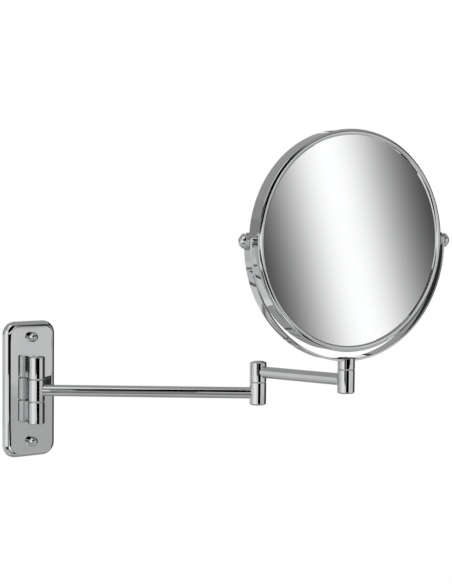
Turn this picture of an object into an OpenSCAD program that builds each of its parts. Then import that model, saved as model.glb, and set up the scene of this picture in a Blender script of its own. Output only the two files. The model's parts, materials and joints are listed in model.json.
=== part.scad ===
// Wall-mounted extendable shaving mirror: a wall plate with a three-knuckle hinge,
// two swinging arms, a bent yoke, and a double-sided mirror head that tilts in the yoke.
// Millimetres. The wall is the plane Y = 0, the room is on the -Y side, +Z is up.
// The origin is the centre of the plate's back, level with the axis of the first arm.

/* [Wall plate] */
// Width of the wall plate
plate_w = 54; // [46:1:70]
// Height of the wall plate
plate_h = 130; // [118:1:150]
// Thickness of the wall plate, wall to front face
plate_t = 8; // [7:0.5:11]
// Corner radius of the plate's outline
plate_corner_r = 12.5; // [9.5:0.5:14]
// Radius that rounds the plate's front edge all the way round
plate_edge_r = 5.5; // [4:0.5:7]
// Wall left round the hollow in the plate's back
plate_rim = 4.5; // [4:0.25:7]
// Thickness of the plate's front skin over the hollow
plate_skin = 3; // [2.5:0.25:4]
// Distance between the two wall studs, one above the other
stud_pitch = 100; // [92:1:106]
// Radius of the two bosses behind the wall studs
boss_r = 7; // [6:0.5:7.5]

/* [Wall fixing] */
// Radius of the stud's machine thread, which carries the dome nut
stud_r = 2.5; // [2:0.25:3]
// Radius of the stud's plain shank, where it leaves the wall
wall_shank_r = 2.2; // [1.8:0.1:3]
// Length of the stud that goes into the wall
wall_depth = 36; // [30:1:60]
// Length of the plain shank behind the wall plane
wall_shank_l = 8; // [5:1:12]
// Height of one turn of the wall thread
wall_pitch = 2; // [1.5:0.25:3]
// Height of the wall thread above its core
wall_thread_h = 0.6; // [0.4:0.1:0.9]
// Radius of the dome nuts on the wall plate
dome_nut_r = 4.7; // [4.4:0.1:6]
// Straight height of the dome nuts, below the dome
dome_nut_skirt = 3; // [2.5:0.25:4]

/* [Wall hinge] */
// Diameter of the hinge column and of every post on the arms
post_d = 16; // [15:0.5:18]
// Distance from the plate's face to the hinge column's axis
column_reach = 9.5; // [8.75:0.25:12]
// Height of each of the three knuckles
knuckle_h = 21; // [18:0.5:22]
// Width of the web that joins a fixed knuckle to the plate
web_w = 10.5; // [9:0.5:13]
// Diameter of the hinge pin
pin_d = 6; // [5:0.25:6.5]
// Solid metal left over the pin's blind end in the top knuckle
pin_cover = 4; // [3:0.5:6]
// Thickness of the plug that closes the pin's bore
pin_plug_t = 3; // [2:0.5:4]
// Chamfer on the ends of the knuckles
knuckle_chamfer = 0.6; // [0.3:0.1:0.9]
// Radius of the machine screws that hold the knuckles on
knuckle_screw_r = 2; // [1.5:0.25:2]
// Distance between the two screws of one knuckle
knuckle_screw_pitch = 12; // [10:0.5:13]
// Radius of those screws' heads
knuckle_head_r = 3.5; // [3:0.25:4]
// Height of those screws' heads
knuckle_head_h = 2.2; // [1.6:0.1:2.6]

/* [Arms] */
// Diameter of both arm tubes
arm_d = 11; // [10:0.5:12]
// Wall thickness of both arm tubes
arm_wall = 1; // [0.8:0.1:1.5]
// First arm, from hinge axis to elbow axis
arm1_l = 210; // [160:5:260]
// Second arm, from elbow axis to swivel axis
arm2_l = 97; // [70:1:130]
// Distance from a post's axis to the end of the tube inside it
arm_seat = 4.6; // [4:0.1:5.2]
// Lower elbow post, above the first arm's axis
elbow_up = 10.25; // [9:0.25:12]
// Lower elbow post, below the first arm's axis
elbow_down = 11.25; // [10.5:0.25:14]
// Upper elbow post, from its foot to the second arm's axis
cap_down = 9.55; // [8.5:0.05:12]
// Upper elbow post, from the second arm's axis to its shoulder
cap_up = 8.8; // [7.5:0.1:11]
// Rise of the shallow dome on the upper elbow post
cap_dome = 1.9; // [0.8:0.1:3]
// Swivel post, above the second arm's axis
swivel_up = 9.6; // [9:0.1:12]
// Swivel post, below the second arm's axis
swivel_down = 12.2; // [11:0.1:13.4]
// Chamfer on the lower end of the elbow and swivel posts
foot_chamfer = 1.3; // [0.6:0.1:1.8]
// Chamfer on every post edge that meets a joint
seam_chamfer = 0.35; // [0.2:0.05:0.6]

/* [Pivot screws] */
// Radius of the screw through each pivot
pivot_r = 2.5; // [2:0.1:3]
// Radius of the pivot screw's head
pivot_head_r = 4.4; // [4:0.1:4.8]
// Height of the pivot screw's head
pivot_head_h = 2.2; // [1.8:0.1:2.4]
// Key size of the hexagon socket in the pivot screw's head
pivot_key = 3; // [2.5:0.25:4]
// Depth of thread in the piece above the pivot
pivot_grip = 6.2; // [5:0.1:6.4]
// Radius of the recess for the screw's head
recess_r = 5.2; // [5:0.1:5.6]
// Depth of that recess
recess_d = 5; // [4.6:0.1:5]
// Thickness of the spring washer under the screw's head
spring_t = 0.8; // [0.5:0.1:0.9]
// Thickness of the plug that closes the recess
foot_plug_t = 1.4; // [1:0.1:1.6]
// Thickness of the nylon washer in each turning joint
nylon_t = 0.4; // [0.3:0.05:0.8]
// How far the nylon washers stay inside the post's edge
nylon_inset = 0.8; // [0.5:0.1:1.5]

/* [Yoke] */
// Gap between the mirror's frame and the yoke's strip, at the tilt pivots
yoke_gap = 4.5; // [2.6:0.1:9]
// Width of the yoke's strip
yoke_w = 11; // [9.5:0.5:13.5]
// Thickness of the yoke's strip
yoke_t = 2; // [1.75:0.25:3.5]
// Height of the tilt axis above the centre of the half ring
yoke_drop = 2.2; // [0:0.2:6]
// How far the strip's round end is centred above the tilt axis
yoke_past = 2; // [0:0.25:4]
// Height of the yoke's collar, from its foot to the outside of the strip
collar_h = 7.5; // [7.3:0.1:12]
// How far the collar's lips stand over the strip
collar_lip = 0.6; // [0.2:0.1:1.5]

/* [Mirror head] */
// Outer diameter of the mirror's frame
frame_d = 200; // [160:1:240]
// Flat width of the frame's side band
band_w = 14; // [13.5:0.5:18]
// Wall thickness of the frame and its rims
frame_wall = 1; // [0.8:0.1:1.2]
// Width of the rims, from the frame's outside to the glass they frame
rim_w = 5.5; // [5:0.1:6]
// Radius of the rims' arched front
rim_r = 3.9; // [3.6:0.1:6]
// Distance from the frame's outside to the crest of that arch
rim_crest = 3.1; // [2.8:0.05:3.3]
// Straight side of the rims, from the side band to the foot of the arch
rim_side = 0.7; // [0.4:0.1:1.5]
// Depth of each rim's skirt inside the side band
rim_skirt = 2.4; // [1.5:0.1:2.6]
// How far the glasses stand out past the edges of the side band
glass_proud = 0.4; // [0:0.1:0.6]
// Thickness of both glasses
glass_t = 3; // [2.5:0.25:3.25]
// Depth of the magnifying mirror's hollow
mag_depth = 5.5; // [2:0.25:6.25]
// Thickness of the card behind the plain glass
card_t = 0.6; // [0.4:0.1:1]
// Distance from the card's edge to the foam ring
card_inset = 4.7; // [1:0.1:30]
// Width of the foam ring between the glasses
foam_w = 6; // [4:0.5:8]

/* [Tilt pivots] */
// Radius of the pivot studs
tilt_r = 3; // [2.5:0.1:3.2]
// Radius of the stud's flange inside the frame
flange_r = 4.1; // [3.8:0.1:4.3]
// Thickness of the stud's flange
flange_t = 1.2; // [0.8:0.1:1.3]
// Radius of the spacers between frame and yoke
spacer_r = 3.8; // [3.5:0.1:5]
// Thickness of the washers on the yoke's inner faces
inner_washer_t = 0.5; // [0.3:0.1:1]
// Radius of those washers
inner_washer_r = 5; // [4.5:0.1:6]
// Thickness of the washers on the yoke's outer faces
outer_washer_t = 0.6; // [0.4:0.1:1]
// Radius of those washers
outer_washer_r = 6.1; // [5:0.1:6.3]
// Radius of the cap nuts' ribbed base
knob_r = 6.6; // [6:0.1:7.5]
// Height of the cap nuts' ribbed base
knob_h = 3.6; // [2.5:0.1:5]
// Number of ribs round each cap nut
knob_ribs = 30; // [18:2:40]
// Depth of the grooves between those ribs
knob_groove = 0.3; // [0.2:0.05:0.4]
// Radius of the cap nuts' dome where it meets the base
knob_dome_r = 5.9; // [5:0.05:6]
// Height of the cap nuts' dome
knob_dome_h = 4; // [3:0.1:5]

/* [Fits] */
// Clearance on radius of a shaft that turns in a bore
run_gap = 0.05; // [0.02:0.01:0.1]
// Clearance on radius where one piece is screwed, pressed or brazed into another
seat_gap = 0.02; // [0.01:0.01:0.05]
// Clearance between faces that slide on each other
face_gap = 0.05; // [0.03:0.01:0.1]
// Clearance on radius of a screw in a plain hole
screw_gap = 0.25; // [0.15:0.05:0.5]

/* [Pose] */
// First arm's angle from straight out, towards +X
arm1_angle = 52.3; // [-90:1:90]
// Second arm's angle from straight out, towards +X
arm2_angle = 17; // [-90:1:90]
// Yoke's angle from facing straight out, towards +X
yoke_angle = -6.4; // [-90:1:90]

/* [Hidden] */
$fn = 96;

CHROME = "gainsboro";
STEEL = "silver";
NYLON = "ivory";

post_r = post_d / 2;
pin_r = pin_d / 2;
arm_r = arm_d / 2;
column_y = plate_t + column_reach;
// Joints are a nylon washer and one sliding gap thick.
joint_t = nylon_t + face_gap;
knuckle_pitch = knuckle_h + joint_t;
cap_foot = elbow_up + joint_t;
arm2_z = cap_foot + cap_down;
collar_foot = arm2_z + swivel_up + joint_t;
frame_r = frame_d / 2;
yoke_in = frame_r + yoke_gap;
yoke_r = yoke_in + yoke_t;
yoke_centre_z = collar_foot + collar_h + yoke_r;
head_z = yoke_centre_z + yoke_drop;
band_in = frame_r - frame_wall;
rim_y = band_w / 2;
glass_y = rim_y + glass_proud;
arch_x = frame_r - rim_crest;
arch_y = rim_y + rim_side - sqrt(pow(rim_r, 2) - pow(rim_crest, 2));
skirt_r = band_in - seat_gap;
glass_r = skirt_r - frame_wall - flange_t - face_gap;
foam_in = glass_r - foam_w;
card_r = foam_in - card_inset;
// Radius of curvature of the magnifying mirror's hollow.
mag_r = (glass_r * glass_r + mag_depth * mag_depth) / (2 * mag_depth);
mag_centre_y = glass_y - mag_depth + mag_r;
stud_tip = column_reach - 1.5;
eps = 0.01;
big = 2 * frame_d;

// ---- frames of the moving bodies ----

module at_arm1() translate([0, -column_y, 0]) rotate([0, 0, arm1_angle]) children();

module at_arm2() at_arm1() translate([0, -arm1_l, arm2_z])
    rotate([0, 0, arm2_angle - arm1_angle]) children();

module at_yoke() at_arm2() translate([0, -arm2_l, -arm2_z])
    rotate([0, 0, yoke_angle - arm2_angle]) children();

module at_head() at_yoke() translate([0, 0, head_z]) children();

// ---- shapes used more than once ----

module rounded_rect(w, h, r) {
    square([w - 2 * r, h], center = true);
    square([w, h - 2 * r], center = true);
    for (x = [-1, 1], y = [-1, 1])
        translate([x * (w / 2 - r), y * (h / 2 - r)]) circle(r);
}

// A rod along +Z with a chamfer at each end.
module post(r, h, foot, top) {
    rotate_extrude() polygon([[0, 0], [r - foot, 0], [r, foot], [r, h - top],
                              [r - top, h], [0, h]]);
}

module ring(outer, inner, h) {
    difference() {
        cylinder(r = outer, h = h);
        translate([0, 0, -1]) cylinder(r = inner, h = h + 2);
    }
}

// A dome of the given edge radius and rise, standing on Z = 0.
module dome(edge, rise) {
    ball = (edge * edge + rise * rise) / (2 * rise);
    intersection() {
        translate([0, 0, rise - ball]) sphere(r = ball, $fn = 128);
        cylinder(r = edge, h = rise + 1);
    }
}

// Lies along -Y, from the seat in one post to the seat in the next.
module tube_blank(length, r) {
    translate([0, -arm_seat, 0]) rotate([90, 0, 0]) cylinder(r = r, h = length - 2 * arm_seat);
}

module arm_tube(length) {
    difference() {
        tube_blank(length, arm_r);
        translate([0, 1, 0]) tube_blank(length + 2, arm_r - arm_wall);
    }
}

// What the tube's end takes out of a post whose axis is at y = 0.
module tube_seat(side) {
    translate([0, side * (arm_seat - seat_gap), 0]) rotate([-90 * side, 0, 0])
        cylinder(r = arm_r + seat_gap, h = post_d);
}

// ---- wall plate ----

module plate_outside() {
    flat = plate_t - plate_edge_r;
    inner_w = plate_w - 2 * plate_edge_r;
    inner_h = plate_h - 2 * plate_edge_r;
    linear_extrude(flat) rounded_rect(plate_w, plate_h, plate_corner_r);
    linear_extrude(plate_t) rounded_rect(inner_w, inner_h, plate_corner_r - plate_edge_r);
    intersection() {
        linear_extrude(plate_t) square([plate_w, plate_h], center = true);
        union() {
            for (x = [-1, 1]) translate([x * inner_w / 2, 0, flat]) rotate([90, 0, 0])
                cylinder(r = plate_edge_r, h = plate_h - 2 * plate_corner_r, center = true);
            for (y = [-1, 1]) translate([0, y * inner_h / 2, flat]) rotate([0, 90, 0])
                cylinder(r = plate_edge_r, h = plate_w - 2 * plate_corner_r, center = true);
            for (x = [-1, 1], y = [-1, 1])
                translate([x * (plate_w / 2 - plate_corner_r), y * (plate_h / 2 - plate_corner_r), 0])
                    rotate_extrude() corner_section(flat);
        }
    }
}

module corner_section(flat) {
    step = plate_corner_r - plate_edge_r;
    square([step, plate_t]);
    square([plate_corner_r, flat]);
    intersection() {
        translate([step, flat]) circle(plate_edge_r);
        translate([step, flat]) square([plate_edge_r, plate_edge_r]);
    }
}

module knuckle_screw_places() {
    for (k = [-1, 1], s = [-1, 1])
        translate([0, 0, k * knuckle_pitch + s * knuckle_screw_pitch / 2]) children();
}

module wall_plate() color(CHROME) {
    hollow = plate_t - plate_skin;
    difference() {
        rotate([90, 0, 0]) plate_outside();
        difference() {
            translate([0, eps, 0]) rotate([90, 0, 0]) linear_extrude(hollow + eps)
                rounded_rect(plate_w - 2 * plate_rim, plate_h - 2 * plate_rim,
                             plate_corner_r - plate_rim);
            for (z = [-1, 1]) translate([0, 1, z * stud_pitch / 2]) rotate([90, 0, 0])
                cylinder(r = boss_r, h = plate_t);
        }
        for (z = [-1, 1]) translate([0, 1, z * stud_pitch / 2]) rotate([90, 0, 0])
            cylinder(r = stud_r + screw_gap, h = plate_t + 2);
        knuckle_screw_places() translate([0, 1, 0]) rotate([90, 0, 0])
            cylinder(r = knuckle_screw_r + screw_gap, h = plate_t + 2);
    }
}

// Threaded rod for the dome nut in front, wood screw behind the wall plane.
module wall_studs() color(STEEL) for (z = [-1, 1]) translate([0, 0, z * stud_pitch / 2]) {
    core = wall_shank_r - wall_thread_h / 2;
    crest = core + wall_thread_h;
    turns = floor((wall_depth - wall_shank_l) / wall_pitch) - 2;
    start = wall_shank_l + wall_pitch / 2;
    tip = start + turns * wall_pitch;
    rotate([90, 0, 0]) cylinder(r = stud_r, h = plate_t + dome_nut_skirt);
    rotate([-90, 0, 0]) rotate_extrude() polygon(concat(
        [[0, 0], [wall_shank_r, 0], [wall_shank_r, wall_shank_l], [core, start]],
        [for (i = [0 : turns - 1], p = [[crest, 0.5], [core, 1]])
            [p[0], start + (i + p[1]) * wall_pitch]],
        [[0, max(wall_depth, tip + wall_pitch)]]));
}

module dome_nuts() color(CHROME) for (z = [-1, 1])
    translate([0, -plate_t, z * stud_pitch / 2]) rotate([90, 0, 0]) difference() {
        union() {
            cylinder(r = dome_nut_r, h = dome_nut_skirt);
            translate([0, 0, dome_nut_skirt]) dome(dome_nut_r, dome_nut_r);
        }
        translate([0, 0, -1]) cylinder(r = stud_r + seat_gap, h = dome_nut_skirt + 1.5);
    }

// ---- wall hinge ----

module fixed_knuckle() {
    post(post_r, knuckle_h, knuckle_chamfer, knuckle_chamfer);
    translate([-web_w / 2, 0, 0]) cube([web_w, column_reach, knuckle_h]);
}

module knuckle_screw_holes() {
    knuckle_screw_places() translate([0, -plate_t + 1, 0]) rotate([90, 0, 0])
        cylinder(r = knuckle_screw_r + seat_gap, h = 1 + web_depth());
}

// Thread depth in a web, short of the pin's bore.
function web_depth() = column_reach - pin_r - 1;

module upper_knuckle() color(CHROME) difference() {
    translate([0, -column_y, knuckle_pitch - knuckle_h / 2]) difference() {
        fixed_knuckle();
        translate([0, 0, -1])
            cylinder(r = pin_r + seat_gap, h = knuckle_h - pin_cover + 1);
    }
    knuckle_screw_holes();
}

module lower_knuckle() color(CHROME) difference() {
    translate([0, -column_y, -knuckle_pitch - knuckle_h / 2]) difference() {
        fixed_knuckle();
        translate([0, 0, -1]) cylinder(r = pin_r + seat_gap, h = knuckle_h + 2);
    }
    knuckle_screw_holes();
}

module knuckle_screws() color(STEEL) knuckle_screw_places()
    translate([0, -plate_t + plate_skin, 0]) {
        rotate([90, 0, 0]) cylinder(r = knuckle_screw_r, h = plate_skin + web_depth() - 0.5);
        rotate([-90, 0, 0]) difference() {
            cylinder(r = knuckle_head_r, h = knuckle_head_h);
            for (a = [0, 90]) rotate([0, 0, a])
                translate([-knuckle_head_r / 2, -0.4, knuckle_head_h / 2])
                    cube([knuckle_head_r, 0.8, knuckle_head_h]);
        }
    }

column_foot = -knuckle_pitch - knuckle_h / 2;
pin_top = knuckle_pitch + knuckle_h / 2 - pin_cover;

module hinge_pin() color(STEEL) translate([0, -column_y, column_foot + pin_plug_t])
    post(pin_r, pin_top - column_foot - pin_plug_t, seam_chamfer, seam_chamfer);

module hinge_plug() color(CHROME) translate([0, -column_y, column_foot])
    cylinder(r = pin_r, h = pin_plug_t);

module hinge_washers() color(NYLON) translate([0, -column_y, 0]) {
    translate([0, 0, knuckle_h / 2 + face_gap]) nylon_ring(pin_r);
    translate([0, 0, -knuckle_h / 2 - face_gap - nylon_t]) nylon_ring(pin_r);
}

module nylon_ring(shaft) ring(post_r - nylon_inset, shaft + run_gap, nylon_t);

// ---- first arm ----

module arm1_knuckle() color(CHROME) at_arm1() difference() {
    translate([0, 0, -knuckle_h / 2]) post(post_r, knuckle_h, knuckle_chamfer, knuckle_chamfer);
    translate([0, 0, -knuckle_h]) cylinder(r = pin_r + run_gap, h = 2 * knuckle_h);
    tube_seat(-1);
}

module arm1_tube() color(CHROME) at_arm1() arm_tube(arm1_l);

// A post with a stepped hole for a pivot screw put in from below; its foot is at Z = 0.
module pivot_post(h) {
    difference() {
        post(post_r, h, foot_chamfer, seam_chamfer);
        translate([0, 0, -1]) cylinder(r = pivot_r + run_gap, h = h + 2);
        translate([0, 0, -1]) cylinder(r = recess_r, h = recess_d + 1);
    }
}

module elbow_post() color(CHROME) at_arm1() translate([0, -arm1_l, 0]) difference() {
    translate([0, 0, -elbow_down]) pivot_post(elbow_down + elbow_up);
    tube_seat(1);
}

module foot_plug() cylinder(r = recess_r - seat_gap, h = foot_plug_t);

module elbow_foot_plug() color(CHROME) at_arm1() translate([0, -arm1_l, -elbow_down]) foot_plug();

// ---- elbow joint and second arm ----

// Both pivots use the same screw, washers and plug; a post of height h stands between.
module pivot_screw(h) {
    seat = recess_d - spring_t;
    difference() {
        translate([0, 0, seat - pivot_head_h]) {
            cylinder(r = pivot_head_r, h = pivot_head_h);
            cylinder(r = pivot_r, h = pivot_head_h + h - seat + joint_t + pivot_grip);
        }
        translate([0, 0, seat - pivot_head_h - 1])
            cylinder(r = pivot_key / sqrt(3), h = 1 + pivot_head_h * 0.6, $fn = 6);
    }
}

module spring_washer() translate([0, 0, recess_d - spring_t])
    ring(pivot_head_r + 0.2, pivot_r + run_gap, spring_t - face_gap);

// Radius of the ball that the upper elbow post's top is cut from.
cap_ball = (post_r * post_r + cap_dome * cap_dome) / (2 * cap_dome);

module elbow_cap_post() color(CHROME) at_arm2() difference() {
    intersection() {
        translate([0, 0, -cap_down]) post(post_r, cap_down + cap_up + cap_dome, seam_chamfer, 0);
        translate([0, 0, cap_up + cap_dome - cap_ball]) sphere(r = cap_ball, $fn = 128);
    }
    translate([0, 0, -cap_down - 1]) cylinder(r = pivot_r + seat_gap, h = pivot_grip + 2);
    tube_seat(-1);
}

module arm2_tube() color(CHROME) at_arm2() arm_tube(arm2_l);

module elbow_screw() color(STEEL) at_arm2() translate([0, 0, -arm2_z - elbow_down])
    pivot_screw(elbow_down + elbow_up);

module elbow_spring_washer() color(STEEL) at_arm2() translate([0, 0, -arm2_z - elbow_down])
    spring_washer();

module elbow_washer() color(NYLON) at_arm2() translate([0, 0, -cap_down - nylon_t])
    nylon_ring(pivot_r);

module swivel_post() color(CHROME) at_arm2() translate([0, -arm2_l, 0]) difference() {
    translate([0, 0, -swivel_down]) pivot_post(swivel_down + swivel_up);
    tube_seat(1);
}

module swivel_foot_plug() color(CHROME) at_arm2() translate([0, -arm2_l, -swivel_down]) foot_plug();

// ---- yoke ----

swivel_foot = arm2_z - swivel_down;

module swivel_screw() color(STEEL) at_yoke() translate([0, 0, swivel_foot])
    pivot_screw(swivel_down + swivel_up);

module swivel_spring_washer() color(STEEL) at_yoke() translate([0, 0, swivel_foot])
    spring_washer();

module swivel_washer() color(NYLON) at_yoke() translate([0, 0, collar_foot - nylon_t])
    nylon_ring(pivot_r);

module across_yoke(r, w) translate([0, 0, yoke_centre_z]) rotate([90, 0, 0])
    cylinder(r = r, h = w, center = true, $fn = 256);

module yoke_collar() color(CHROME) at_yoke() difference() {
    translate([0, 0, collar_foot])
        post(post_r, collar_h + yoke_t + collar_lip, seam_chamfer, seam_chamfer);
    across_yoke(yoke_r + seat_gap, yoke_w + 2 * seat_gap);
    translate([0, 0, collar_foot - 1]) cylinder(r = pivot_r + seat_gap, h = pivot_grip + 1.6);
}

module yoke_band() color(CHROME) at_yoke() {
    end_z = head_z + yoke_past;
    difference() {
        union() {
            difference() {
                across_yoke(yoke_r, yoke_w);
                translate([-big, -big, yoke_centre_z]) cube(2 * big);
            }
            for (x = [-1, 1]) translate([x > 0 ? yoke_in : -yoke_r, 0, 0]) {
                translate([0, -yoke_w / 2, yoke_centre_z]) cube([yoke_t, yoke_w, end_z - yoke_centre_z]);
                translate([0, 0, end_z]) rotate([0, 90, 0]) cylinder(r = yoke_w / 2, h = yoke_t);
            }
        }
        across_yoke(yoke_in, yoke_w + 2);
        translate([0, 0, head_z]) rotate([0, 90, 0])
            cylinder(r = tilt_r + run_gap, h = big, center = true);
    }
}

// ---- mirror head: local origin on the tilt axis, plain glass towards -Y ----

// Turns a section, drawn with X as radius and Y towards the front, about the head's axis.
module turned() rotate([90, 0, 0]) rotate_extrude($fn = 256) children();

module frame_band() color(CHROME) at_head() difference() {
    turned() translate([band_in, -rim_y]) square([frame_wall, band_w]);
    rotate([0, 90, 0]) cylinder(r = tilt_r + seat_gap, h = big, center = true);
}

// Arched bead that holds the glass, with a skirt that goes down inside the side band.
module rim_section() {
    skirt_in = skirt_r - frame_wall;
    difference() {
        union() {
            difference() {
                intersection() {
                    translate([arch_x, arch_y]) circle(rim_r);
                    translate([frame_r - rim_w, rim_y]) square([rim_w, rim_r]);
                }
                translate([arch_x, arch_y]) circle(rim_r - frame_wall);
                square([skirt_in, glass_y]);
            }
            translate([skirt_in, rim_y - rim_skirt])
                square([frame_r - frame_wall / 2 - skirt_in, rim_skirt + rim_side]);
        }
        translate([skirt_r, rim_y - big]) square([big, big]);
    }
}

module front_rim() color(CHROME) at_head() turned() rim_section();

module rear_rim() color(CHROME) at_head() rotate([0, 0, 180]) turned() rim_section();

module plain_glass() color("lightsteelblue") at_head() turned()
    translate([0, glass_y - glass_t]) square([glass_r, glass_t]);

module magnifying_glass() color("lightsteelblue") at_head() difference() {
    intersection() {
        translate([0, glass_y, 0]) rotate([90, 0, 0]) cylinder(r = glass_r, h = band_w, $fn = 256);
        translate([0, mag_centre_y, 0]) sphere(r = mag_r + glass_t, $fn = 360);
    }
    translate([0, mag_centre_y, 0]) sphere(r = mag_r, $fn = 360);
}

module backing_card() color("tan") at_head() turned()
    translate([0, glass_y - glass_t - card_t]) square([card_r, card_t]);

// Fills the edge between the glasses, as far as the magnifying mirror's bulge lets it.
module foam_ring() color("dimgray") at_head() turned() {
    low = sqrt(pow(mag_r + glass_t, 2) - foam_in * foam_in) - mag_centre_y + face_gap;
    translate([foam_in, low]) square([foam_w, glass_y - glass_t - low]);
}

module both_sides() for (x = [0, 180]) rotate([0, 0, x]) rotate([0, 90, 0]) children();

stud_end = yoke_r + outer_washer_t + knob_h + knob_dome_h / 2;
flange_x = sqrt(pow(skirt_r - frame_wall, 2) - pow(flange_r, 2)) + frame_wall - face_gap;

module pivot_studs() color(STEEL) at_head() both_sides() {
    translate([0, 0, flange_x - flange_t]) cylinder(r = flange_r, h = flange_t);
    translate([0, 0, flange_x - flange_t]) cylinder(r = tilt_r, h = stud_end - flange_x + flange_t);
}

inner_washer_x = yoke_in - face_gap - inner_washer_t;

module pivot_spacers() color(CHROME) at_head() both_sides()
    translate([0, 0, frame_r]) ring(spacer_r, tilt_r + seat_gap, inner_washer_x - frame_r);

module inner_washers() color(NYLON) at_head() both_sides()
    translate([0, 0, inner_washer_x]) ring(inner_washer_r, tilt_r + seat_gap, inner_washer_t);

module outer_washers() color(CHROME) at_head() both_sides()
    translate([0, 0, yoke_r + face_gap])
        ring(outer_washer_r, tilt_r + seat_gap, outer_washer_t - face_gap);

module cap_nuts() color(CHROME) at_head() both_sides()
    translate([0, 0, yoke_r + outer_washer_t]) difference() {
        union() {
            cylinder(r = knob_r, h = knob_h);
            translate([0, 0, knob_h]) dome(knob_dome_r, knob_dome_h);
        }
        translate([0, 0, -1])
            cylinder(r = tilt_r + seat_gap, h = 1 + stud_end - yoke_r - outer_washer_t + 0.5);
        for (i = [0 : knob_ribs - 1]) rotate([0, 0, i * 360 / knob_ribs])
            translate([knob_r, 0, -1]) rotate([0, 0, 45])
                cube([knob_groove * sqrt(2), knob_groove * sqrt(2), 2 * knob_h + 4], center = true);
    }

wall_plate();
wall_studs();
dome_nuts();
upper_knuckle();
lower_knuckle();
knuckle_screws();
hinge_pin();
hinge_plug();
hinge_washers();
arm1_knuckle();
arm1_tube();
elbow_post();
elbow_foot_plug();
elbow_cap_post();
arm2_tube();
elbow_screw();
elbow_spring_washer();
elbow_washer();
swivel_post();
swivel_foot_plug();
yoke_collar();
yoke_band();
swivel_screw();
swivel_spring_washer();
swivel_washer();
frame_band();
front_rim();
rear_rim();
plain_glass();
magnifying_glass();
backing_card();
foam_ring();
pivot_studs();
pivot_spacers();
inner_washers();
outer_washers();
cap_nuts();
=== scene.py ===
"""Extendable shaving mirror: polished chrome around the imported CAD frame, in a plain studio."""

import json
from math import asin, atan, atan2, cos, degrees, exp, hypot, pi, radians, sin, sqrt, tan

import bpy
from mathutils import Matrix, Vector


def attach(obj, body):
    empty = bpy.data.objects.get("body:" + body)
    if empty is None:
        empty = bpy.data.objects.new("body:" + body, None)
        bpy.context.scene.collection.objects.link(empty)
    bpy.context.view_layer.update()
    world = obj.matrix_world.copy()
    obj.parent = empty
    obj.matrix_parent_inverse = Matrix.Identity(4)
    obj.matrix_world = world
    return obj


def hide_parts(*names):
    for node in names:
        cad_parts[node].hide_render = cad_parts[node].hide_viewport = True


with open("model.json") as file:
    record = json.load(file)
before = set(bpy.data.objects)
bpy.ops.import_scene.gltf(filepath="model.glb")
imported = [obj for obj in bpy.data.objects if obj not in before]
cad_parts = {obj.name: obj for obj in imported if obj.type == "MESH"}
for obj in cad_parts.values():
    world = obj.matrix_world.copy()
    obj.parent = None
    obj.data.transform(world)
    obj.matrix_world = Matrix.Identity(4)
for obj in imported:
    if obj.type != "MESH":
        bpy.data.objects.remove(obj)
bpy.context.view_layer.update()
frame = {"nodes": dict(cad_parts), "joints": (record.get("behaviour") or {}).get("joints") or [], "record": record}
scene = bpy.context.scene

# The frame is in metres. Sizes in this script are in millimetres, except where a comment says metres.
MM = 0.001
UP = Vector((0, 0, 1))
ROOM = Vector((0, -1, 0))       # straight out from the wall

# ---------------------------------------------------------------- places taken from the frame

JOINT = {joint["name"]: Vector(joint["pos_m"]) for joint in frame["joints"]}
LATERAL = next(Vector(joint["axis"]) for joint in frame["joints"] if joint["name"] == "tilt").normalized()
HEAD = JOINT["tilt"]
FRONT = LATERAL.cross(UP).normalized()      # the plain mirror's outward normal
if FRONT.y > 0:
    FRONT.negate()


def towards(start, stop):
    """The level direction from one joint's axis to the next."""
    way = stop - start
    way.z = 0
    return way.normalized()


def span(node, origin, direction):
    """How far a CAD node reaches from origin along a direction, in metres: (lowest, highest)."""
    reach = [(v.co - origin).dot(direction) for v in frame["nodes"][node].data.vertices]
    return min(reach), max(reach)


def heights(node):
    """Lowest and highest Z of a CAD node, in metres."""
    return span(node, Vector(), UP)


def stand(origin, z_axis=UP, x_axis=(1, 0, 0)):
    """A local frame in millimetres, at a place in metres, with its X and Z along the given directions."""
    x, z = Vector(x_axis).normalized(), Vector(z_axis).normalized()
    turn = Matrix((x, z.cross(x), z)).transposed().to_4x4()
    turn.translation = origin
    return turn @ Matrix.Scale(MM, 4)


TUBE_DIRECTION = {"arm1_tube": towards(JOINT["wall_hinge"], JOINT["elbow"]),
                  "arm2_tube": towards(JOINT["elbow"], JOINT["swivel"])}
POST_R = span("elbow_post", JOINT["elbow"], Vector((1, 0, 0)))[1] / MM
TUBE_R = heights("arm1_tube")[1] / MM       # the first arm's axis is at Z = 0

# ---------------------------------------------------------------- mesh tools

# Sides of turned pieces, by how large they show
SIDES_BOSS, SIDES_SMALL, SIDES_POST, SIDES_GLASS, SIDES_HEAD = 48, 128, 160, 256, 512
ON_AXIS = 1e-9      # a smaller radius is a point on the axis
STRAIGHT = 1e-6     # a smaller turn is no corner


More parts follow.
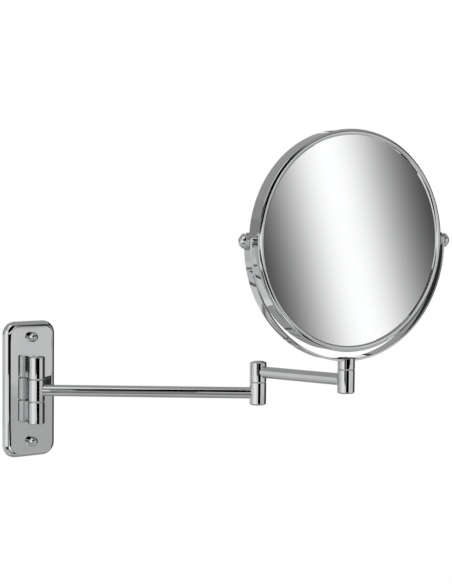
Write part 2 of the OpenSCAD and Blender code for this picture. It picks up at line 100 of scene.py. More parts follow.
class Shell:
    """Collects the vertices, normals and faces of one piece, each in the local frame set last."""

    def __init__(self, matrix=None):
        self.verts, self.normals, self.faces = [], [], []
        self.matrix = matrix or Matrix()

    def at(self, matrix):
        self.matrix = matrix
        return self

    def point(self, place, normal):
        self.verts.append(self.matrix @ Vector(place))
        self.normals.append((self.matrix.to_3x3() @ Vector(normal)).normalized())
        return len(self.verts) - 1

    def grid(self, points, normals):
        """A sheet of quads between rows of points, each row closed on itself."""
        index = [[self.point(p, n) for p, n in zip(*row)] for row in zip(points, normals)]
        for low, high in zip(index, index[1:]):
            for j in range(len(low)):
                k = (j + 1) % len(low)
                self.faces.append((low[j], low[k], high[k], high[j]))

    def disc(self, rim, normal):
        """A flat cap over a closed outline."""
        self.faces.append([self.point(p, normal) for p in rim])

    def lathe(self, profile, sides):
        """Turns a profile of (r, z, nr, nz) about local Z, with the solid on the left of its run."""
        turns = [2 * pi * k / sides for k in range(sides)]
        rings = []
        for r, z, nr, nz in profile:
            if r < ON_AXIS:
                rings.append([self.point((0, 0, z), (0, 0, 1 if nz > 0 else -1))])
            else:
                rings.append([self.point((r * cos(t), r * sin(t), z), (nr * cos(t), nr * sin(t), nz))
                              for t in turns])
        for low, high in zip(rings, rings[1:]):
            for k in range(sides):
                j = (k + 1) % sides
                if len(low) == 1 and len(high) > 1:
                    self.faces.append((low[0], high[j], high[k]))
                elif len(high) == 1 and len(low) > 1:
                    self.faces.append((low[k], low[j], high[0]))
                elif len(low) > 1:
                    self.faces.append((low[k], low[j], high[j], high[k]))

    def piece(self, name, body, slot, node):
        """Makes the mesh object, with exact vertex normals, in place of a CAD node and on its body."""
        mesh = bpy.data.meshes.new(name)
        mesh.from_pydata([tuple(v) for v in self.verts], [], self.faces)
        mesh.update()
        mesh.shade_smooth()
        mesh.normals_split_custom_set_from_vertices([tuple(n) for n in self.normals])
        obj = bpy.data.objects.new(name, mesh)
        scene.collection.objects.link(obj)
        mesh.materials.append(MATERIAL[slot])
        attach(obj, body)
        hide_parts(node)


def lathe_piece(name, body, slot, node, matrices, profile, sides):
    """One piece of the same profile turned in each of the given frames."""
    shell = Shell()
    for matrix in matrices:
        shell.at(matrix).lathe(profile, sides)
    shell.piece(name, body, slot, node)


def heading(a, b):
    """The unit direction of a profile's run from one corner to the next."""
    dr, dz = b[0] - a[0], b[1] - a[1]
    length = hypot(dr, dz)
    return dr / length, dz / length


def rounded(corners, steps=5):
    """A profile of (r, z, nr, nz) through corners of (r, z), sharp, or (r, z, radius), rounded.

    The solid lies to the left, so a normal is the run's direction turned clockwise."""
    corners = [(*corner, 0)[:3] for corner in corners]
    out = []
    for i, (r, z, fillet) in enumerate(corners):
        before = heading(corners[i - 1], corners[i]) if i else None
        after = heading(corners[i], corners[i + 1]) if i + 1 < len(corners) else None
        if before is None or after is None:
            run = after or before
            out.append((r, z, run[1], -run[0]))
            continue
        turn = before[0] * after[1] - before[1] * after[0]
        if abs(turn) < STRAIGHT:
            continue
        if not fillet:
            out.append((r, z, before[1], -before[0]))
            out.append((r, z, after[1], -after[0]))
            continue
        half = atan2(abs(turn), before[0] * after[0] + before[1] * after[1]) / 2
        reach = fillet * tan(half)
        side = 1 if turn > 0 else -1
        centre_r = r - before[0] * reach - side * before[1] * fillet
        centre_z = z - before[1] * reach + side * before[0] * fillet
        for k in range(steps + 1):
            a = side * 2 * half * k / steps
            nr = before[1] * cos(a) + before[0] * sin(a)
            nz = -before[0] * cos(a) + before[1] * sin(a)
            out.append((centre_r + side * fillet * nr, centre_z + side * fillet * nz, nr, nz))
    return out


def arc(centre_r, centre_z, radius, start, stop, steps):
    """Part of a circle as a profile, degrees from +r towards +z."""
    turns = [radians(start + (stop - start) * k / steps) for k in range(steps + 1)]
    return [(centre_r + radius * cos(a), centre_z + radius * sin(a), cos(a), sin(a)) for a in turns]


def rounded_rect(w, h, r, steps=24):
    """A closed outline of (x, y, nx, ny), anticlockwise."""
    out = []
    for quarter, (x, y) in enumerate(((1, 1), (-1, 1), (-1, -1), (1, -1))):
        for k in range(steps + 1):
            a = pi / 2 * (quarter + k / steps)
            out.append((x * (w / 2 - r) + r * cos(a), y * (h / 2 - r) + r * sin(a), cos(a), sin(a)))
    return out


def prism(shell, outline, profile, top=False, bore=0.0):
    """Carries a profile of (offset, z, nr, nz) round an outline of (x, y, nx, ny).

    top closes the upper end, and a bore closes the lower end round a hole of that radius."""
    points = [[(x + nx * offset, y + ny * offset, z) for x, y, nx, ny in outline]
              for offset, z, _, _ in profile]
    normals = [[(nx * nr, ny * nr, nz) for _, _, nx, ny in outline] for _, _, nr, nz in profile]
    shell.grid(points, normals)
    if bore:
        inner = [(bore * x / hypot(x, y), bore * y / hypot(x, y), z) for x, y, z in points[0]]
        down = [(0, 0, -1)] * len(inner)
        shell.grid([inner, points[0]], [down, down])
    if top:
        shell.disc(points[-1], (0, 0, 1))


# ---------------------------------------------------------------- materials

NOISE_LOW, NOISE_HIGH = 0.3, 0.7            # the part of the noise's range that carries a gloss value
TONE_LOW, TONE_HIGH = 0.35, 0.65            # and the part that carries a colour


def node_material(name):
    material = bpy.data.materials.new(name)
    material.use_nodes = True
    tree = material.node_tree
    return material, tree, tree.nodes["Principled BSDF"]


def link(tree, a, b):
    tree.links.new(a, b)


def noise(tree, scale, detail=3.0, roughness=0.5):
    coords = tree.nodes.new("ShaderNodeTexCoord")
    node = tree.nodes.new("ShaderNodeTexNoise")
    node.inputs["Scale"].default_value = scale
    node.inputs["Detail"].default_value = detail
    node.inputs["Roughness"].default_value = roughness
    link(tree, coords.outputs["Object"], node.inputs["Vector"])
    return node


def spread(tree, source, low, high):
    """Maps a noise value to low..high."""
    node = tree.nodes.new("ShaderNodeMapRange")
    node.inputs["From Min"].default_value = NOISE_LOW
    node.inputs["From Max"].default_value = NOISE_HIGH
    node.inputs["To Min"].default_value = low
    node.inputs["To Max"].default_value = high
    link(tree, source.outputs["Fac"], node.inputs["Value"])
    return node


def two_tone(tree, shader, source, dark, light):
    ramp = tree.nodes.new("ShaderNodeValToRGB")
    first, second = ramp.color_ramp.elements
    first.position, second.position = TONE_LOW, TONE_HIGH
    first.color, second.color = (*dark, 1), (*light, 1)
    link(tree, source.outputs["Fac"], ramp.inputs["Fac"])
    link(tree, ramp.outputs["Color"], shader.inputs["Base Color"])


def bump(tree, shader, source, depth, strength=1.0):
    node = tree.nodes.new("ShaderNodeBump")
    node.inputs["Distance"].default_value = depth
    node.inputs["Strength"].default_value = strength
    link(tree, source.outputs["Fac"], node.inputs["Height"])
    link(tree, node.outputs["Normal"], shader.inputs["Normal"])


def metal(name, dark, light, rough, wave, wave_scale, wave_depth):
    """A metal with faint clouding in its colour and gloss, and a slight waviness (depth in metres)."""
    material, tree, shader = node_material(name)
    shader.inputs["Metallic"].default_value = 1.0
    two_tone(tree, shader, noise(tree, scale=35.0, detail=4.0), dark, light)
    smears = spread(tree, noise(tree, scale=180.0, detail=5.0, roughness=0.65), *rough)
    link(tree, smears.outputs["Result"], shader.inputs["Roughness"])
    bump(tree, shader, noise(tree, wave_scale, detail=1.0), wave_depth, wave)
    return material


def matt(name, dark, light, roughness, grain, depth):
    """A plastic or board with a fine grain (depth in metres)."""
    material, tree, shader = node_material(name)
    two_tone(tree, shader, noise(tree, scale=90.0), dark, light)
    shader.inputs["Roughness"].default_value = roughness
    bump(tree, shader, noise(tree, grain, detail=4.0), depth)
    return material


def silvered_glass(name):
    """A silvered mirror under clear glass, with a trace of smearing in its gloss."""
    material, tree, shader = node_material(name)
    shader.inputs["Metallic"].default_value = 1.0
    two_tone(tree, shader, noise(tree, scale=12.0), (0.93, 0.935, 0.935), (0.95, 0.955, 0.955))
    smears = spread(tree, noise(tree, scale=60.0, detail=4.0), low=0.0, high=0.02)
    link(tree, smears.outputs["Result"], shader.inputs["Roughness"])
    return material


CHROME_DARK, CHROME_LIGHT = (0.560, 0.565, 0.570), (0.590, 0.594, 0.598)
MATERIAL = {
    "chromed_brass": metal("chromed_brass", CHROME_DARK, CHROME_LIGHT, rough=(0.02, 0.045),
                           wave=0.03, wave_scale=60.0, wave_depth=0.0002),
    "chromed_fittings": metal("chromed_fittings", CHROME_DARK, CHROME_LIGHT, rough=(0.04, 0.07),
                              wave=0.05, wave_scale=250.0, wave_depth=0.0001),
    "stainless_steel": metal("stainless_steel", (0.42, 0.42, 0.41), (0.52, 0.52, 0.51), rough=(0.22, 0.34),
                             wave=0.4, wave_scale=900.0, wave_depth=0.00005),
    "nylon": matt("nylon", (0.70, 0.70, 0.66), (0.76, 0.76, 0.72),
                  roughness=0.45, grain=800.0, depth=0.00004),
    "plain_mirror": silvered_glass("plain_mirror"),
    "magnifying_mirror": silvered_glass("magnifying_mirror"),
    "card": matt("card", (0.40, 0.32, 0.22), (0.48, 0.39, 0.28),
                 roughness=0.85, grain=1500.0, depth=0.0001),
    "foam": matt("foam", (0.03, 0.03, 0.03), (0.05, 0.05, 0.05),
                 roughness=0.9, grain=1200.0, depth=0.0003),
}
for part in frame["record"]["subparts"]:
    cad = frame["nodes"][part["node"]]
    cad.data.materials.clear()
    cad.data.materials.append(MATERIAL[part["material_slot"]])

# ---------------------------------------------------------------- wall plate and its nuts

SOFT = 0.3          # radius of softened edges, where nothing else is said
PLATE_W, PLATE_H, PLATE_T = 54.0, 130.0, 8.0
PLATE_CORNER, PLATE_EDGE, PLATE_BACK_EDGE = 12.5, 5.5, 0.4
PLATE_RIM, PLATE_HOLLOW = 4.5, 5.0
STUD_Z, BOSS_R, BOSS_BORE = 50.0, 7.0, 2.75
NUT_R, NUT_SKIRT = 4.7, 3.0


def wall_plate():
    """The plate with its rounded front edge, and the hollow with two bosses in its back."""
    plate = Shell(stand((0, 0, 0), ROOM))
    flat = PLATE_T - PLATE_EDGE
    side = rounded([(-PLATE_RIM, 0), (0, 0, PLATE_BACK_EDGE), (0, flat)])
    prism(plate, rounded_rect(PLATE_W, PLATE_H, PLATE_CORNER),
          side + arc(-PLATE_EDGE, flat, PLATE_EDGE, 0, 90, 20), top=True)
    hollow = rounded_rect(PLATE_W - 2 * PLATE_RIM, PLATE_H - 2 * PLATE_RIM, PLATE_CORNER - PLATE_RIM)
    prism(plate, hollow, [(0, PLATE_HOLLOW, -1, 0), (0, 0, -1, 0)])
    plate.disc([(x, y, PLATE_HOLLOW) for x, y, _, _ in reversed(hollow)], (0, 0, -1))
    boss = rounded([(BOSS_BORE, PLATE_HOLLOW), (BOSS_BORE, 0), (BOSS_R, 0, SOFT), (BOSS_R, PLATE_HOLLOW)])
    for z in (-STUD_Z, STUD_Z):
        plate.at(stand((0, 0, z * MM), ROOM)).lathe(boss, SIDES_BOSS)
    plate.piece("wall_plate_shell", "base", "chromed_brass", "wall_plate")


wall_plate()
lathe_piece("wall_dome_nuts", "base", "chromed_fittings", "dome_nuts",
            [stand((0, -PLATE_T * MM, z * MM), ROOM) for z in (-STUD_Z, STUD_Z)],
            [(NUT_R, 0, 1, 0), (NUT_R, NUT_SKIRT, 1, 0)] + arc(0, NUT_SKIRT, NUT_R, 0, 90, 24),
            SIDES_SMALL)

# ---------------------------------------------------------------- wall hinge

WEB_HALF = 5.25                                             # half the width of a knuckle's web
WEB_REACH = -JOINT["wall_hinge"].y / MM - PLATE_T           # from the hinge's axis to the plate
PIN_BORE = 3.02
KNUCKLE_CHAMFER = 0.6
WEB_CAP = 1.0       # how far a knuckle's chamfered ends run inwards before the flat cap


def post_frame(joint, node):
    """A local frame on a joint's upright axis with its foot at the node's, and the node's height."""
    low, high = heights(node)
    origin = JOINT[joint].copy()
    origin.z = low
    return stand(origin), (high - low) / MM


def fixed_knuckle(name, node, steps=96):
    """A hinge knuckle that a straight-sided web joins to the plate."""
    matrix, h = post_frame("wall_hinge", node)
    meet = asin(sqrt(POST_R * POST_R - WEB_HALF * WEB_HALF) / POST_R)
    turns = [pi - meet + (pi + 2 * meet) * k / steps for k in range(steps + 1)]
    outline = [(POST_R * cos(a), POST_R * sin(a), cos(a), sin(a)) for a in turns]
    outline += [(WEB_HALF, POST_R * sin(meet), 1, 0), (WEB_HALF, WEB_REACH, 1, 0),
                (-WEB_HALF, WEB_REACH, -1, 0), (-WEB_HALF, POST_R * sin(meet), -1, 0)]
    c = KNUCKLE_CHAMFER
    profile = rounded([(-WEB_CAP, 0), (-c, 0, SOFT), (0, c, SOFT),
                       (0, h - c, SOFT), (-c, h, SOFT), (-WEB_CAP, h)])
    shell = Shell(matrix)
    prism(shell, outline, profile, top=True, bore=PIN_BORE)
    shell.piece(name, "base", "chromed_brass", node)


fixed_knuckle("hinge_knuckle_upper", "upper_knuckle")
fixed_knuckle("hinge_knuckle_lower", "lower_knuckle")

# ---------------------------------------------------------------- posts and tubes

SEAM_CHAMFER, SEAM_SOFT = 0.35, 0.14        # where a post meets a turning joint
SCREW_HOLE = 3.0                            # where a post's face ends, inside the joint
FOOT_CHAMFER, FOOT_SOFT, FOOT_SIDE_SOFT = 1.3, 0.35, 0.4
RECESS_R, RECESS_SHOWN, RECESS_SOFT = 5.2, 1.2, 0.12        # the hole under a post, which a plug closes
DOME_RISE, DOME_SHOULDER = 1.9, 0.7
BRAZE_R = 0.5                               # radius of the brazed fillet where a tube meets its post
TUBE_INSET, TUBE_RINGS = 5.0, 24            # a tube starts inside its posts


def plain_post(h):
    c = KNUCKLE_CHAMFER
    return rounded([(PIN_BORE, 0), (POST_R - c, 0, SOFT), (POST_R, c, SOFT),
                    (POST_R, h - c, SOFT), (POST_R - c, h, SOFT), (PIN_BORE, h)])


def foot_post(h):
    """A post with a recess in its foot, where a plug sits."""
    return rounded([(RECESS_R, RECESS_SHOWN), (RECESS_R, 0, RECESS_SOFT),
                    (POST_R - FOOT_CHAMFER, 0, FOOT_SOFT), (POST_R, FOOT_CHAMFER, FOOT_SIDE_SOFT),
                    (POST_R, h - SEAM_CHAMFER, SEAM_SOFT), (POST_R - SEAM_CHAMFER, h, SEAM_SOFT),
                    (SCREW_HOLE, h)])


def seam_foot(height):
    """The foot of a post that stands on a turning joint, and its side up to a height."""
    return rounded([(SCREW_HOLE, 0), (POST_R - SEAM_CHAMFER, 0, SEAM_SOFT),
                    (POST_R, SEAM_CHAMFER, SEAM_SOFT), (POST_R, height)])


def domed_post(h):
    """A post whose top is a shallow dome with a soft shoulder."""
    ball = (POST_R * POST_R + DOME_RISE * DOME_RISE) / (2 * DOME_RISE)
    centre = h - ball
    across = POST_R - DOME_SHOULDER
    shoulder = centre + sqrt((ball - DOME_SHOULDER) ** 2 - across ** 2)
    lift = degrees(atan((shoulder - centre) / across))
    return (seam_foot(shoulder)[:-1] + arc(across, shoulder, DOME_SHOULDER, 0, lift, 6)
            + arc(0, centre, ball, lift, 90, 16)[1:])


def add_fillet(shell, axis, direction, steps=96, rows=6):
    """The brazed fillet of a tube that leaves a post's axis along a direction."""
    shell.at(stand(axis, UP, direction.cross(UP)))
    points, normals = [], []
    for k in range(rows + 1):
        row, facing = [], []
        for i in range(steps):
            turn = 2 * pi * i / steps
            x, z = (TUBE_R + BRAZE_R) * cos(turn), (TUBE_R + BRAZE_R) * sin(turn)
            centre = Vector((x, sqrt((POST_R + BRAZE_R) ** 2 - x * x), z))
            from_tube = Vector((cos(turn), 0, sin(turn)))
            from_post = Vector((centre.x, centre.y, 0)).normalized()
            normal = from_tube.slerp(from_post, k / rows)
            row.append(centre - BRAZE_R * normal)
            facing.append(normal)
        points.append(row)
        normals.append(facing)
    shell.grid(points, normals)


def at_tube_height(joint, tube):
    """The place on a joint's axis, in metres, that is level with a tube's axis."""
    place = JOINT[joint].copy()
    place.z = sum(heights(tube)) / 2
    return place


def arm_post(node, name, body, joint, profile, tube, side):
    """A post that a tube leaves: side is 1 at the tube's near end and -1 at its far end."""
    matrix, h = post_frame(joint, node)
    shell = Shell(matrix)
    shell.lathe(profile(h), SIDES_POST)
    add_fillet(shell, at_tube_height(joint, tube), TUBE_DIRECTION[tube] * side)
    shell.piece(name, body, "chromed_brass", node)


def arm_tube(node, name, body, near, far):
    start, stop = at_tube_height(near, node), at_tube_height(far, node)
    length = (stop - start).length / MM
    shell = Shell(stand(start, (stop - start).normalized(), UP))
    shown = length - 2 * TUBE_INSET
    shell.lathe([(TUBE_R, TUBE_INSET + shown * k / TUBE_RINGS, 1, 0) for k in range(TUBE_RINGS + 1)],
                SIDES_POST)
    shell.piece(name, body, "chromed_brass", node)


arm_post("arm1_knuckle", "hinge_knuckle_middle", "arm1", "wall_hinge", plain_post, "arm1_tube", 1)
arm_post("elbow_post", "elbow_lower_post", "arm1", "elbow", foot_post, "arm1_tube", -1)
arm_post("elbow_cap_post", "elbow_domed_post", "arm2", "elbow", domed_post, "arm2_tube", 1)
arm_post("swivel_post", "swivel_lower_post", "arm2", "swivel", foot_post, "arm2_tube", -1)
arm_tube("arm1_tube", "first_arm_tube", "arm1", "wall_hinge", "elbow")
arm_tube("arm2_tube", "second_arm_tube", "arm2", "elbow", "swivel")

# ---------------------------------------------------------------- yoke

strip_low, strip_high = span("yoke_band", HEAD, UP)
STRIP_R = span("yoke_band", HEAD, LATERAL)[1] / MM          # outer radius of the half ring
STRIP_W, STRIP_T, STRIP_EDGE = 11.0, 2.0, 0.5
RING_DROP = -strip_low / MM - STRIP_R                       # the pivots stand this far above its centre
STRIP_PAST = strip_high / MM - STRIP_W / 2                  # centre of the round ends above the pivots
STRIP_FLAT = 0.01                                           # flat left between the rounded edge and a face
COLLAR_SEAT, COLLAR_GAP, LIP_TOP = 7.5, 0.02, 0.2
COLLAR_OVER, LIP_UNDER = 0.5, 1.0                           # how far the body and the lips pass the seat


def bent(s, t, n):
    """A point of the strip: s along it from its middle, t across it, n from its inner face out.

    The directions out of the strip and along it come with the point."""
    half = pi / 2 * STRIP_R
    if abs(s) <= half:
        a = s / STRIP_R
        out, tangent = Vector((sin(a), 0, -cos(a))), Vector((cos(a), 0, sin(a)))
        centre = Vector((0, 0, -RING_DROP))
    else:
        side = 1 if s > 0 else -1
        out, tangent = Vector((side, 0, 0)), Vector((0, 0, side))
        centre = Vector((0, 0, -RING_DROP + abs(s) - half))
    return centre + out * (STRIP_R - STRIP_T + n) + Vector((0, t, 0)), out, tangent


def strip_outline(end_steps=16, side_steps=160):
    """(s, half width, outward slope in s, outward slope in t) from one round end to the other."""
    half = pi / 2 * STRIP_R + RING_DROP + STRIP_PAST
    w = STRIP_W / 2
    turns = [pi / 2 * k / end_steps for k in range(end_steps + 1)]
    rows = [(-half - w * cos(a), w * sin(a), -cos(a), sin(a)) for a in turns]
    rows += [(-half + 2 * half * k / side_steps, w, 0, 1) for k in range(1, side_steps)]
    rows += [(half + w * cos(a), w * sin(a), cos(a), sin(a)) for a in reversed(turns)]
    return rows


def yoke_strip():
    """The bent strip: the edge all the way round it, then its inner and outer faces."""
    strip = Shell(stand(HEAD, UP, LATERAL))
    start = -STRIP_EDGE - STRIP_FLAT
    edge = rounded([(start, 0), (0, 0, STRIP_EDGE), (0, STRIP_T, STRIP_EDGE), (start, STRIP_T)], 6)
    rows = strip_outline()
    loop = rows + [(s, -w, ns, -nt) for s, w, ns, nt in reversed(rows[1:-1])]
    points, normals = [], []
    for offset, depth, nr, nz in edge:
        row, facing = [], []
        for s, w, ns, nt in loop:
            place, out, tangent = bent(s + ns * offset, w + nt * offset, depth)
            row.append(place)
            facing.append(out * nz + tangent * (ns * nr) + Vector((0, nt * nr, 0)))
        points.append(row)
        normals.append(facing)
    strip.grid(points, normals)
    for (offset, depth, _, _), sign in ((edge[0], -1), (edge[-1], 1)):
        for pair in zip(rows, rows[1:]):
            ids = []
            for s, w, ns, nt in pair:
                for t_sign in (1, -1):
                    place, out, _ = bent(s + ns * offset, t_sign * (w + nt * offset), depth)
                    ids.append(strip.point(place, out * sign))
            face = (ids[0], ids[1], ids[3], ids[2])
            strip.faces.append(face if sign < 0 else face[::-1])
    strip.piece("yoke_strip", "yoke", "chromed_brass", "yoke_band")


def yoke_collar(steps=32):
    """The collar on the swivel, with a lip on each side of the strip."""
    low, high = heights("yoke_collar")
    origin = JOINT["swivel"].copy()
    origin.z = low
    collar = Shell(stand(origin, UP, LATERAL))
    collar.lathe(seam_foot(COLLAR_SEAT + COLLAR_OVER), SIDES_POST)
    slot_half = STRIP_W / 2 + COLLAR_GAP
    reach = asin(sqrt(POST_R * POST_R - slot_half * slot_half) / POST_R)
    lip_h = (high - low) / MM
    profile = rounded([(0, COLLAR_SEAT - LIP_UNDER), (0, lip_h - SEAM_CHAMFER, SEAM_SOFT),
                       (-SEAM_CHAMFER, lip_h, SEAM_SOFT), (-SEAM_CHAMFER - LIP_TOP, lip_h)])
    for side in (1, -1):
        turns = [pi / 2 * side - reach + 2 * reach * k / steps for k in range(steps + 1)]
        lip = [(POST_R * cos(a), POST_R * sin(a), cos(a), sin(a)) for a in turns]
        lip += [(lip[-1][0], side * slot_half, 0, -side), (lip[0][0], side * slot_half, 0, -side)]
        prism(collar, lip, profile, top=True)
    collar.piece("yoke_collar_body", "yoke", "chromed_brass", "yoke_collar")


yoke_strip()
yoke_collar()

# ---------------------------------------------------------------- mirror head

head_frame = stand(HEAD, FRONT, LATERAL)
FRAME_R = span("frame_band", HEAD, UP)[1] / MM
BAND_HALF = span("frame_band", HEAD, FRONT)[1] / MM
BAND_LIP = 0.9                              # the band's and the rims' ends run in this far at their seam
SEAM = 0.16                                 # radius of the softened edges at that seam
RIM_W, RIM_R, RIM_CREST, RIM_SIDE = 5.5, 3.9, 3.1, 0.7
RIM_OUTER_SOFT, RIM_INNER_SOFT = 0.35, 0.3
GLASS_PROUD, GLASS_R, GLASS_T = 0.4, 96.7, 3.0
GLASS_Z = BAND_HALF + GLASS_PROUD
MAGNIFYING_DEPTH = 5.5
ARCH_R = FRAME_R - RIM_CREST
ARCH_Z = BAND_HALF + RIM_SIDE - sqrt(RIM_R ** 2 - RIM_CREST ** 2)


def arch_corner(edge_r, soft):
    """Where a corner of radius soft meets the arch and a straight side: its centre, and the lift there."""
    across = abs(edge_r - ARCH_R) - soft
    rise = sqrt((RIM_R - soft) ** 2 - across ** 2)
    return ARCH_R + (across if edge_r > ARCH_R else -across), ARCH_Z + rise, degrees(atan(rise / across))


def rim_profile():
    """The front rim, from its seam with the band, up its side and over the arch, down to the glass."""
    outer_r, outer_z, outer_lift = arch_corner(FRAME_R, RIM_OUTER_SOFT)
    inner_r, inner_z, inner_lift = arch_corner(FRAME_R - RIM_W, RIM_INNER_SOFT)
    side = rounded([(FRAME_R - BAND_LIP, BAND_HALF), (FRAME_R, BAND_HALF, SEAM), (FRAME_R, outer_z)])
    return (side[:-1] + arc(outer_r, outer_z, RIM_OUTER_SOFT, 0, outer_lift, 8)
            + arc(ARCH_R, ARCH_Z, RIM_R, outer_lift, 180 - inner_lift, 24)[1:]
            + arc(inner_r, inner_z, RIM_INNER_SOFT, 180 - inner_lift, 180, 6)[1:]
            + [(FRAME_R - RIM_W, GLASS_Z, -1, 0)])


def hollow_glass(steps=64):
    """The magnifying mirror's face, part of a ball, and its edge."""
    ball = (GLASS_R ** 2 + MAGNIFYING_DEPTH ** 2) / (2 * MAGNIFYING_DEPTH)
    profile = []
    for k in range(steps + 1):
        r = GLASS_R * k / steps
        depth = sqrt(ball * ball - r * r)
        profile.append((r, -GLASS_Z + MAGNIFYING_DEPTH - ball + depth, -r / ball, -depth / ball))
    return profile + [(GLASS_R, -GLASS_Z, 1, 0), (GLASS_R, -GLASS_Z + GLASS_T, 1, 0)]


lathe_piece("frame_side_band", "head", "chromed_brass", "frame_band", [head_frame],
            rounded([(FRAME_R - BAND_LIP, -BAND_HALF), (FRAME_R, -BAND_HALF, SEAM),
                     (FRAME_R, BAND_HALF, SEAM), (FRAME_R - BAND_LIP, BAND_HALF)]), SIDES_HEAD)
rim = rim_profile()
lathe_piece("front_rim_bead", "head", "chromed_brass", "front_rim", [head_frame], rim, SIDES_HEAD)
lathe_piece("rear_rim_bead", "head", "chromed_brass", "rear_rim", [head_frame],
            [(r, -z, nr, -nz) for r, z, nr, nz in reversed(rim)], SIDES_HEAD)
lathe_piece("plain_mirror_glass", "head", "plain_mirror", "plain_glass", [head_frame],
            rounded([(0, GLASS_Z - GLASS_T), (GLASS_R, GLASS_Z - GLASS_T, SOFT),
                     (GLASS_R, GLASS_Z, SOFT), (0, GLASS_Z)]), SIDES_GLASS)
lathe_piece("magnifying_mirror_glass", "head", "magnifying_mirror", "magnifying_glass", [head_frame],
            hollow_glass(), SIDES_GLASS)

# ---------------------------------------------------------------- tilt pivots

pivots = [stand(HEAD, LATERAL * side, UP) for side in (1, -1)]
PIVOT_BORE, WASHER_SOFT = 3.02, 0.12
SPACER_R, INNER_WASHER_R, OUTER_WASHER_R = 3.8, 5.0, 6.1
SPACER_OVERLAP = 0.1                                        # the spacers start inside the band
INNER_GAP, OUTER_GAP = 0.05, 0.03                           # between the strip and its washers
spacer_end = span("pivot_spacers", HEAD, LATERAL)[1] / MM
nut_seat = span("outer_washers", HEAD, LATERAL)[1] / MM
nut_end = span("cap_nuts", HEAD, LATERAL)[1] / MM

KNOB_R, KNOB_H, KNOB_EDGE = 6.6, 3.6, 0.45
RIBS, GROOVE, GROOVE_SHARE = 30, 0.3, 0.24                  # share: half a groove's width, of one rib
RIB_POINTS = 8
EDGE_STEPS = (0, 0.12, 0.35, 0.6, 1.2)                      # rows of points near each end of the base
DOME_R = 5.9
NUDGE_TURN, NUDGE_Z = 0.004, 0.05                           # steps by which the ribs' slopes are taken


def ring_profile(outer, low, high):
    return rounded([(PIVOT_BORE, low), (outer, low, WASHER_SOFT),
                    (outer, high, WASHER_SOFT), (PIVOT_BORE, high)])


def knob_surface(turn, z):
    """A place on the cap nut's ribbed base, whose grooves and turned-off edges take from its radius."""
    rib = turn * RIBS / (2 * pi) % 1.0
    grooved = KNOB_R - GROOVE * max(0.0, 1 - abs(rib - 0.5) / GROOVE_SHARE)
    end = min(z, KNOB_H - z)
    edge = min(KNOB_EDGE, sqrt(max(0.0, 2 * KNOB_EDGE * end - end * end)))
    r = min(grooved, KNOB_R - KNOB_EDGE + edge)
    return Vector((r * cos(turn), r * sin(turn), z + nut_seat))


def knob(shell):
    """A cap nut: a finely ribbed base with its edges turned off, and a low dome."""
    count = RIB_POINTS * RIBS
    points, normals = [], []
    for z in (*EDGE_STEPS, *(KNOB_H - step for step in reversed(EDGE_STEPS))):
        row, facing = [], []
        for k in range(count):
            t = 2 * pi * k / count
            round_it = knob_surface(t + NUDGE_TURN, z) - knob_surface(t - NUDGE_TURN, z)
            up_it = knob_surface(t, min(KNOB_H, z + NUDGE_Z)) - knob_surface(t, max(0, z - NUDGE_Z))
            row.append(knob_surface(t, z))
            facing.append(round_it.cross(up_it))
        points.append(row)
        normals.append(facing)
    shell.grid(points, normals)
    shell.disc(list(reversed(points[0])), (0, 0, -1))
    base = nut_seat + KNOB_H
    turns = [2 * pi * k / count for k in range(count)]
    foot = [(DOME_R * cos(t), DOME_R * sin(t), base) for t in turns]
    up = [(0, 0, 1)] * count
    shell.grid([points[-1], foot], [up, up])
    rise = nut_end - nut_seat - KNOB_H
    ball = (DOME_R ** 2 + rise ** 2) / (2 * rise)
    centre = base + rise - ball
    shell.lathe(arc(0, centre, ball, degrees(asin((base - centre) / ball)), 90, 20), count)


lathe_piece("tilt_spacers", "head", "chromed_fittings", "pivot_spacers", pivots,
            ring_profile(SPACER_R, FRAME_R - SPACER_OVERLAP, spacer_end), SIDES_SMALL)
lathe_piece("tilt_inner_washers", "head", "nylon", "inner_washers", pivots,
            ring_profile(INNER_WASHER_R, spacer_end, STRIP_R - STRIP_T - INNER_GAP), SIDES_SMALL)
lathe_piece("tilt_outer_washers", "head", "chromed_fittings", "outer_washers", pivots,
            ring_profile(OUTER_WASHER_R, STRIP_R + OUTER_GAP, nut_seat), SIDES_SMALL)
nuts = Shell()
for pivot in pivots:
    knob(nuts.at(pivot))
nuts.piece("tilt_cap_nuts", "head", "chromed_fittings", "cap_nuts")

# ---------------------------------------------------------------- studio cards
# Plain cards that only reflections see. Bright ones make the chrome's soft white, dark ones its black lines.
# Their places and levels were picked for the view from the photo's side.

CENTRE = Vector((100, -150, 0))             # the point that far cards stand round
SKY_Z, GROUND_Z = 1000, -900


def glow(name, level):
    """An even glow."""
    material = bpy.data.materials.new(name)
    material.use_nodes = True
    tree = material.node_tree
    tree.nodes.clear()
    out = tree.nodes.new("ShaderNodeOutputMaterial")
    emit = tree.nodes.new("ShaderNodeEmission")
    emit.inputs["Color"].default_value = (1, 1, 1, 1)
    emit.inputs["Strength"].default_value = level
    link(tree, emit.outputs["Emission"], out.inputs["Surface"])
    return material, tree, emit


